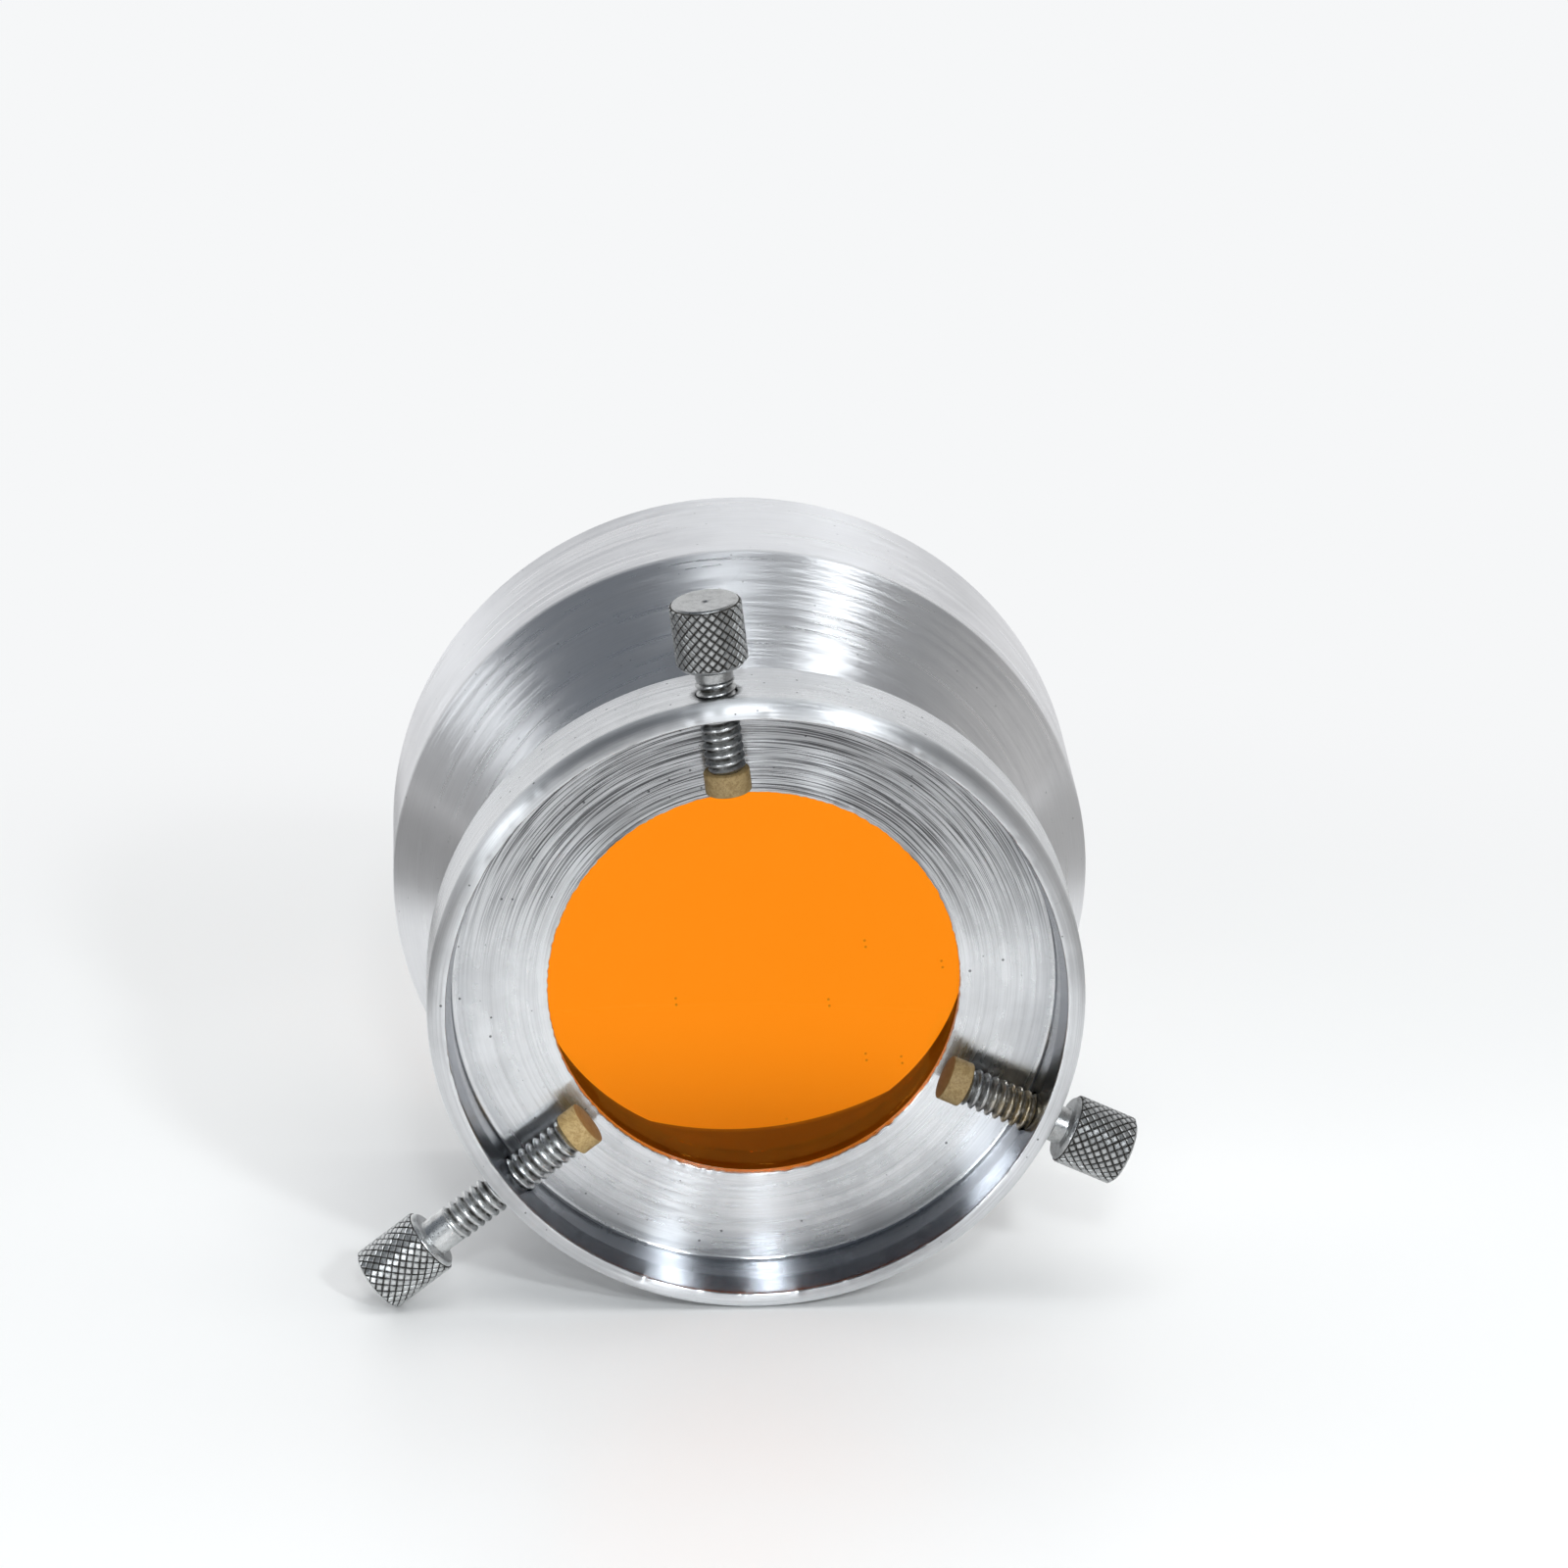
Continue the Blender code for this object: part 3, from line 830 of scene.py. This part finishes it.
class SUNSHADE_OT_clamp_ring(bpy.types.Operator):
    """Turns the clamp ring with its web, boss and three tapped holes"""

    bl_idname = "sunshade.clamp_ring"
    bl_label = "Clamp ring"

    def execute(self, context):
        sizes, colours = context.scene.sunshade_sizes, context.scene.sunshade_colours
        axis = optical_axis(sizes)
        chance = random.Random(11)
        # Grooves that the tool left in the web's front face, 0.1 to 0.25 mm apart.
        grooves, reach = [], sizes.lens_bore - 0.5 * MM
        while reach > sizes.aperture + 0.4 * MM:
            grooves.append((reach, sizes.cup_depth + chance.uniform(0.0, 0.009) * MM, 0.0))
            reach -= chance.uniform(0.1, 0.25) * MM
        # The lip's inner edge is chamfered, and the bore flares towards it from 2.4 mm in.
        bm = turn(
            [
                (sizes.recess, sizes.boss_end, 0.2 * MM),
                (sizes.boss_radius, sizes.boss_end, 0.3 * MM),
                (sizes.boss_radius, sizes.ring_length, 0.2 * MM),
                (sizes.ring_radius, sizes.ring_length, 0.35 * MM),
                (sizes.ring_radius, 0.0, sizes.lip_rounding),
                (sizes.lens_bore + 0.5 * MM, 0.0, 0.12 * MM),
                (sizes.lens_bore + 0.4 * MM, 0.48 * MM, 0.0),
                (sizes.lens_bore, 2.4 * MM, 0.3 * MM),
                (sizes.lens_bore, sizes.cup_depth, 0.3 * MM),
                *grooves,
                (sizes.aperture, sizes.cup_depth, 0.08 * MM),
                (sizes.aperture, sizes.web_back, 0.08 * MM),
                (sizes.recess, sizes.web_back, 0.1 * MM),
            ],
            RING_STEPS,
        )
        self.wear_edges(bm, sizes, chance)
        to_ring = axis.inverted()
        # Each hole is drilled from inside the cup to outside the ring.
        holes = [(to_ring @ screw_axis(place), 3.0 * MM, 16.0 * MM) for place in PLACES]
        bm = drill(bm, holes, sizes.thread_radius + HOLE_CLEARANCE)
        metal = turned_aluminium(
            "ring_aluminium_turned",
            colours.ring_metal,
            axis,
            roughness=0.25,
            wear=1.0,
            arc=16.0,
            cup=sizes,
        )
        finish_piece(
            bm, "clamp_ring_metal", axis, [metal], "clamp_ring", "clamp_ring"
        )
        return {"FINISHED"}

    def wear_edges(self, bm, sizes, chance):
        """Nicks the lip's edges and leaves a ragged burr round the aperture."""
        # Each nick's place round the lip, its edge, 0 inner or 1 outer, and half its width.
        nicks = [
            (
                chance.uniform(0.0, math.tau),
                chance.choice((0.0, 1.0)),
                chance.uniform(0.35, 0.7) * MM,
            )
            for _ in range(LIP_NICKS)
        ]
        for vert in bm.verts:
            reach, station = vert.co.xy.length, vert.co.z
            turned = math.atan2(vert.co.y, vert.co.x)
            if station < 0.3 * MM and reach > sizes.lens_bore:
                outer = reach > (sizes.lens_bore + sizes.ring_radius) / 2
                for place, side, width in nicks:
                    away = abs((turned - place + math.pi) % math.tau - math.pi)
                    away *= reach / width
                    if away < 1.0 and side == outer:
                        # The rounded outer edge is dented less than the sharp inner one.
                        depth = (0.015 if outer else 0.08) * width * (1.0 - away * away)
                        vert.co.z += depth
                        vert.co.xy *= 1.0 + (-depth if outer else depth) / reach
            elif (
                reach < sizes.aperture + 0.2 * MM
                and abs(station - sizes.cup_depth) < 0.2 * MM
            ):
                rim = Vector((math.cos(turned), math.sin(turned), 0.0))
                ragged = noise.noise(rim * 38.0)
                vert.co.xy *= 1.0 + BURR * ragged / reach
                vert.co.z -= BURR * max(0.0, ragged)


class SUNSHADE_OT_hood(bpy.types.Operator):
    """Turns the hood with its threaded neck, collar, cone and band"""

    bl_idname = "sunshade.hood"
    bl_label = "Hood"

    def execute(self, context):
        sizes, colours = context.scene.sunshade_sizes, context.scene.sunshade_colours
        axis = optical_axis(sizes)
        slope = (sizes.hood_radius - sizes.collar_radius) / (sizes.band_start - sizes.cone_start)
        wall = sizes.cone_wall * math.hypot(1.0, slope)
        bore_end = sizes.cone_start - (sizes.collar_radius - wall - sizes.neck_bore) / slope
        band_bore = sizes.hood_radius - sizes.hood_wall
        # The mouth's inner edge is chamfered.
        mouth_bore = band_bore + 0.4 * MM
        thread_root = sizes.neck_thread - NECK_THREAD_DEPTH
        neck = thread_root - 0.2 * MM
        bm = turn(
            [
                (sizes.neck_bore, sizes.neck_front, 0.2 * MM),
                (sizes.neck_bore, bore_end, 0.0),
                (band_bore, bore_end + (band_bore - sizes.neck_bore) / slope, 0.3 * MM),
                (band_bore, sizes.hood_end - 1.5 * MM, 0.2 * MM),
                (mouth_bore, sizes.hood_end, 0.05 * MM),
                (sizes.hood_radius, sizes.hood_end, 0.15 * MM),
                (sizes.hood_radius, sizes.band_start, 0.3 * MM),
                (sizes.collar_radius, sizes.cone_start, 0.3 * MM),
                (sizes.collar_radius, sizes.collar_front, 0.3 * MM),
                (neck, sizes.collar_front, 0.0),
                (neck, sizes.neck_front, 0.2 * MM),
            ],
            HOOD_STEPS,
        )
        # The faces that look inwards are painted.
        for face in bm.faces:
            middle = face.calc_center_median()
            if face.normal.xy.dot(middle.xy) < -0.3 * middle.xy.length:
                face.material_index = 1
        add_thread(
            bm,
            sizes.neck_thread,
            NECK_THREAD_DEPTH,
            sizes.thread_pitch,
            sizes.neck_front + 0.1 * MM,
            sizes.collar_front + 0.05 * MM,
            NECK_THREAD_STEPS,
            core=thread_root - 0.3 * MM,
        )
        metal = turned_aluminium(
            "hood_aluminium_turned", colours.hood_metal, axis, roughness=0.31, wear=0.4, arc=6.0
        )
        paint = matt_paint("hood_inside_paint", colours.paint, axis)
        finish_piece(bm, "hood_metal", axis, [metal, paint], "hood", "hood")
        return {"FINISHED"}


class SUNSHADE_OT_filter(bpy.types.Operator):
    """Makes the filter: an orange glass in its aluminium rim"""

    bl_idname = "sunshade.filter"
    bl_label = "Filter"

    def execute(self, context):
        sizes, colours = context.scene.sunshade_sizes, context.scene.sunshade_colours
        axis = optical_axis(sizes)
        inside = sizes.rim_radius - 0.5 * MM
        ledge = sizes.rim_back - 0.4 * MM
        rim = turn(
            [
                (sizes.rim_radius, sizes.rim_back, 0.1 * MM),
                (sizes.rim_radius, sizes.rim_front, 0.1 * MM),
                (inside, sizes.rim_front, 0.1 * MM),
                (inside, ledge, 0.0),
                (sizes.neck_bore, ledge, 0.08 * MM),
                (sizes.neck_bore, sizes.rim_back, 0.08 * MM),
            ],
            RIM_STEPS,
        )
        metal = turned_aluminium(
            "rim_aluminium_turned", colours.ring_metal, axis, roughness=0.35, wear=0.5, arc=6.0
        )
        finish_piece(
            rim, "filter_rim_metal", axis, [metal], "filter", "filter_rim"
        )
        back = sizes.rim_front + sizes.glass_thickness
        disc = turn(
            [
                (0.0, back, 0.0),
                (sizes.glass_radius, back, 0.15 * MM),
                (sizes.glass_radius, sizes.rim_front, 0.15 * MM),
                (0.0, sizes.rim_front, 0.0),
            ],
            RIM_STEPS,
            closed=False,
        )
        glass = filter_glass("filter_glass_orange", colours.glass, axis)
        finish_piece(
            disc, "filter_glass_disc", axis, [glass], "filter", "filter_glass"
        )
        return {"FINISHED"}


class SUNSHADE_OT_thumbscrews(bpy.types.Operator):
    """Makes the three knurled thumbscrews"""

    bl_idname = "sunshade.thumbscrews"
    bl_label = "Thumbscrews"

    def execute(self, context):
        sizes, colours = context.scene.sunshade_sizes, context.scene.sunshade_colours
        for place in PLACES:
            if place == "left":
                shank, plain = sizes.long_shank, sizes.long_plain
                head_radius, head_length = sizes.long_head_radius, sizes.long_head_length
            else:
                shank, plain = sizes.short_shank, sizes.short_plain
                head_radius, head_length = sizes.short_head_radius, sizes.short_head_length
            bm = self.turn_blank(sizes, shank, plain, head_radius, head_length)
            end = shank + head_length
            threaded = shank - plain - 0.1 * MM
            add_thread(
                bm,
                sizes.thread_radius,
                SCREW_THREAD_DEPTH,
                sizes.thread_pitch,
                0.0,
                threaded,
                SCREW_THREAD_STEPS,
            )
            knurl = (shank + 0.35 * MM, end - 0.2 * MM)
            add_knurl(bm, head_radius, sizes.knurl_depth, *knurl, sizes.knurl_starts)
            self.chamfer_ends(bm, sizes, shank, end, head_radius)
            matrix = screw_axis(place)
            # The left screw is painted lighter and the top and right ones darker, as lit and
            # shaded copies of one steel; the right one's thread is tarnished.
            steel = plated_steel(
                f"plated_steel_{place}",
                shaded(colours.steel, 1.15 if place == "left" else 0.75),
                colours.grime,
                colours.tarnish,
                matrix,
                tarnished=0.6 if place == "right" else 0.0,
            )
            name = f"thumbscrew_{place}"
            finish_piece(
                bm, f"{name}_steel", matrix, [steel], f"screw_{place}", name
            )
        return {"FINISHED"}

    def turn_blank(self, sizes, shank, plain, head_radius, head_length):
        """The screw before it is threaded and knurled, with its pin and its dished head."""
        end = shank + head_length
        root = sizes.thread_radius - SCREW_THREAD_DEPTH - 0.1 * MM
        plain_radius = sizes.thread_radius - 0.1 * MM
        body = head_radius - sizes.knurl_depth
        # The head's end is a shallow dish, with the dimple of a lathe centre in its middle.
        return turn(
            [
                (0.0, -PIN_LENGTH, 0.0),
                (sizes.pin_radius, -PIN_LENGTH, 0.1 * MM),
                (sizes.pin_radius, 0.0, 0.0),
                (root, 0.02 * MM, 0.0),
                (root, shank - plain - 0.3 * MM, 0.0),
                (plain_radius, shank - plain, 0.1 * MM),
                (plain_radius, shank, 0.1 * MM),
                (head_radius - 0.45 * MM, shank, 0.1 * MM),
                (body, shank + 0.35 * MM, 0.1 * MM),
                (body, end - 0.3 * MM, 0.1 * MM),
                (head_radius - 0.35 * MM, end, 0.12 * MM),
                (head_radius - 0.9 * MM, end - 0.02 * MM, 0.0),
                (0.35 * MM, end - 0.15 * MM, 0.0),
                (0.18 * MM, end - 0.3 * MM, 0.0),
                (0.0, end - 0.35 * MM, 0.0),
            ],
            SCREW_STEPS,
            closed=False,
        )

    def chamfer_ends(self, bm, sizes, shank, end, head_radius):
        """Chamfers both ends of the knurled head and the free end of the thread."""
        for vert in bm.verts:
            reach, station = vert.co.xy.length, vert.co.z
            edge = head_radius - HEAD_CHAMFER
            limit = min(head_radius, edge + (end - station), edge + (station - shank))
            if station > shank and reach > limit:
                vert.co.xy *= limit / reach
            limit = sizes.thread_radius - THREAD_CHAMFER + station
            if 0.0 <= station < THREAD_CHAMFER and reach > limit:
                vert.co.xy *= limit / reach


class SUNSHADE_OT_tip_pads(bpy.types.Operator):
    """Makes the wooden tips that press on the lens"""

    bl_idname = "sunshade.tip_pads"
    bl_label = "Tip pads"

    def execute(self, context):
        sizes, colours = context.scene.sunshade_sizes, context.scene.sunshade_colours
        front = -0.02 * MM
        end = front - sizes.tip_length
        depth = -PIN_LENGTH - SOCKET_CLEARANCE
        socket = sizes.pin_radius + SOCKET_CLEARANCE
        for place in PLACES:
            bm = turn(
                [
                    (0.0, depth, 0.0),
                    (socket, depth, 0.0),
                    (socket, front, 0.0),
                    (sizes.tip_radius, front, 0.12 * MM),
                    (sizes.tip_radius, end, 0.12 * MM),
                    (0.0, end, 0.0),
                ],
                TIP_STEPS,
                closed=False,
            )
            matrix = screw_axis(place)
            # The top and right tips are painted darker than the left one, as painted shade.
            tint = shaded(colours.wood, 1.0 if place == "left" else 0.6)
            wood = bare_wood(f"boxwood_{place}", tint, matrix, end / MM)
            name = f"tip_pad_{place}"
            finish_piece(bm, f"{name}_wood", matrix, [wood], f"tip_{place}", name)
        return {"FINISHED"}


# The camera's place from the front lip, and its heading and fall.
CAMERA_PLACE = Vector((-27.84, -563.39, 179.60)) * MM
CAMERA_HEADING = Vector((0.0534, 0.9986, 0.0))
CAMERA_FALL = math.radians(15.76)
CAMERA_LENS = 157.5
SENSOR_WIDTH = 36.0

# Name, place from the front lip in metres, diameter, watts, and whether metal mirrors it.
# Two small lamps in front and above and one low on the left draw the streaks on the metal;
# a broad one overhead, which the metal does not mirror, lights the table.
LAMPS = (
    ("lamp_front", (0.003, -0.795, 0.42), 0.08, 1.7, True),
    ("lamp_right", (0.293, -0.74, 0.42), 0.08, 2.4, True),
    ("lamp_left", (-0.6, -0.665, 0.095), 0.2, 1.5, True),
    ("lamp_over", (0.1, -0.22, 0.9), 0.9, 4.9, False),
)


class SUNSHADE_OT_stage(bpy.types.Operator):
    """Sets the pale floor, the studio light and the camera"""

    bl_idname = "sunshade.stage"
    bl_label = "Stage"

    def execute(self, context):
        scene = context.scene
        scene.view_settings.view_transform = "Standard"
        self.make_floor(scene.sunshade_colours)
        self.make_room(scene)
        lip = optical_axis(scene.sunshade_sizes).translation
        camera = bpy.data.objects.new("camera", bpy.data.cameras.new("camera"))
        scene.collection.objects.link(camera)
        scene.camera = camera
        facing = CAMERA_HEADING * math.cos(CAMERA_FALL)
        facing.z = -math.sin(CAMERA_FALL)
        camera.location = lip + CAMERA_PLACE
        camera.rotation_euler = facing.to_track_quat("-Z", "Y").to_euler()
        camera.data.lens = CAMERA_LENS
        camera.data.sensor_width = SENSOR_WIDTH
        camera.data.clip_start = 0.01
        for name, place, size, power, mirrored in LAMPS:
            lamp = bpy.data.objects.new(name, bpy.data.lights.new(name, "AREA"))
            scene.collection.objects.link(lamp)
            lamp.data.shape = "DISK"
            lamp.data.size = size
            lamp.data.energy = power
            lamp.data.color = linear_colour("#F7FCFF" if mirrored else "#FFFFFF")[:3]
            lamp.location = lip + Vector(place)
            lamp.rotation_euler = (-Vector(place)).to_track_quat("-Z", "Y").to_euler()
            lamp.visible_glossy = mirrored
        return {"FINISHED"}

    def make_floor(self, colours):
        """A large pale table top under white paper that fills the distance."""
        bm = bmesh.new()
        bmesh.ops.create_grid(bm, x_segments=8, y_segments=8, size=3.0)
        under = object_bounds()[0].z - 0.05 * MM
        bmesh.ops.translate(bm, verts=bm.verts, vec=(0.0, 0.0, under))
        mesh = bpy.data.meshes.new("floor")
        bm.to_mesh(mesh)
        bm.free()
        floor = bpy.data.objects.new("floor", mesh)
        bpy.context.scene.collection.objects.link(floor)
        floor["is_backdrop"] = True
        material, add = new_finish("satin_laminate")
        mesh.materials.append(material)
        place = add("TexCoord").outputs["Object"]
        # Faint unevenness of a satin laminate, some 4 cm across.
        uneven = add("TexNoise", {"Vector": place, "Scale": 25.0, "Detail": 3.0})
        satin = add("MapRange", (uneven, 0.3, 0.7, 0.38, 0.46), **SMOOTH)
        laminate = add(
            "BsdfPrincipled", {"Base Color": colours.floor, "Roughness": satin, "IOR": 1.45}
        )
        # The paper starts 9 cm from the object, or nearer for what the glass shows, where it
        # is brighter too.
        light = add("LightPath").outputs
        reach = add("VectorMath", (place,), operation="LENGTH")
        seen = add("Math", (light["Is Camera Ray"], light["Is Glossy Ray"]), operation="MAXIMUM")
        distant = add("MapRange", (reach, 0.09, 0.2), **SMOOTH)
        far = add("Math", (seen, distant), operation="MULTIPLY")
        near = add("MapRange", (reach, 0.02, 0.07), **SMOOTH)
        through = add("Math", (light["Is Transmission Ray"], near), operation="MULTIPLY")
        far = add("Math", (far, through), operation="MAXIMUM")
        pale = (linear_colour("#F6F7F8"), linear_colour("#FFFFFF"))
        white = add("Emission", {"Color": add("Mix", (through, *pale), data_type="RGBA")})
        paper = add("MixShader", (far, laminate, white))
        # To the metal the paper is a narrow sheet, with grey beside it.
        sideways = add("SeparateXYZ", (place,)).outputs
        away = add("Math", (sideways["X"],), operation="ABSOLUTE")
        beside = add("MapRange", (away, 0.075, 0.12), **SMOOTH)
        short = add("MapRange", (sideways["Y"], 0.25, 0.1), **SMOOTH)
        grey = add("Math", (beside, short), operation="MULTIPLY")
        grey = add("Math", (grey, light["Is Glossy Ray"]), operation="MULTIPLY")
        rightwards = add("MapRange", (sideways["X"], -0.1, 0.1), **SMOOTH)
        tones = (linear_colour("#8E8E8E"), linear_colour("#ADADAC"))
        wall = add("Emission", {"Color": add("Mix", (rightwards, *tones), data_type="RGBA")})
        add("OutputMaterial", {"Surface": add("MixShader", (grey, paper, wall))})

    def make_room(self, scene):
        """A white room behind, grey at the sides, and dark in front and overhead."""
        world = bpy.data.worlds.new("room")
        scene.world = world
        world.use_nodes = True
        world.node_tree.nodes.clear()
        add = partial(add_node, world.node_tree)
        split = add("SeparateXYZ", (add("TexCoord").outputs["Generated"],)).outputs
        rightwards = add("MapRange", (split["X"], -0.5, 0.5), **SMOOTH)
        upwards = add("MapRange", (split["Z"], 0.3, 0.7), **SMOOTH)
        behind = add("MapRange", (split["Y"], 0.15, 0.5), **SMOOTH)
        front = add("MapRange", (split["Y"], -0.2, -0.6), **SMOOTH)
        # The sides from left to right, below and above.
        low = (linear_colour("#939495"), linear_colour("#B8B7B5"))
        high = (linear_colour("#636A73"), linear_colour("#9E9F9F"))
        low = add("Mix", (rightwards, *low), data_type="RGBA")
        high = add("Mix", (rightwards, *high), data_type="RGBA")
        room = add("Mix", (upwards, low, high), data_type="RGBA")
        room = add("Mix", (behind, room, linear_colour("#FDFEFF")), data_type="RGBA")
        room = add("Mix", (front, room, linear_colour("#353C45")), data_type="RGBA")
        light = add("LightPath").outputs
        seen = (light["Is Camera Ray"], light["Is Transmission Ray"])
        seen = add("Math", seen, operation="MAXIMUM")
        shown = add("Mix", (seen, room, linear_colour("#F7F8F9")), data_type="RGBA")
        add("OutputWorld", {"Surface": add("Background", {"Color": shown})})


class SUNSHADE_PT_panel(bpy.types.Panel):
    """Sizes, colours and pieces of the lens sunshade"""

    bl_idname = "SUNSHADE_PT_panel"
    bl_label = "Lens sunshade"
    bl_space_type = "VIEW_3D"
    bl_region_type = "UI"
    bl_category = "Sunshade"

    def draw(self, context):
        layout = self.layout
        for group in (context.scene.sunshade_sizes, context.scene.sunshade_colours):
            box = layout.box()
            for name in group.__annotations__:
                box.prop(group, name)
        for operator in OPERATORS:
            layout.operator(operator.bl_idname)


OPERATORS = (
    SUNSHADE_OT_clamp_ring,
    SUNSHADE_OT_hood,
    SUNSHADE_OT_filter,
    SUNSHADE_OT_thumbscrews,
    SUNSHADE_OT_tip_pads,
    SUNSHADE_OT_stage,
)
CLASSES = (SunshadeSizes, SunshadeColours, *OPERATORS, SUNSHADE_PT_panel)


def register():
    for cls in CLASSES:
        bpy.utils.register_class(cls)
    bpy.types.Scene.sunshade_sizes = PointerProperty(type=SunshadeSizes)
    bpy.types.Scene.sunshade_colours = PointerProperty(type=SunshadeColours)


def unregister():
    del bpy.types.Scene.sunshade_colours
    del bpy.types.Scene.sunshade_sizes
    for cls in reversed(CLASSES):
        bpy.utils.unregister_class(cls)


def main():
    register()
    bpy.ops.sunshade.clamp_ring()
    bpy.ops.sunshade.hood()
    bpy.ops.sunshade.filter()
    bpy.ops.sunshade.thumbscrews()
    bpy.ops.sunshade.tip_pads()
    bpy.ops.sunshade.stage()


if __name__ == "__main__":
    main()
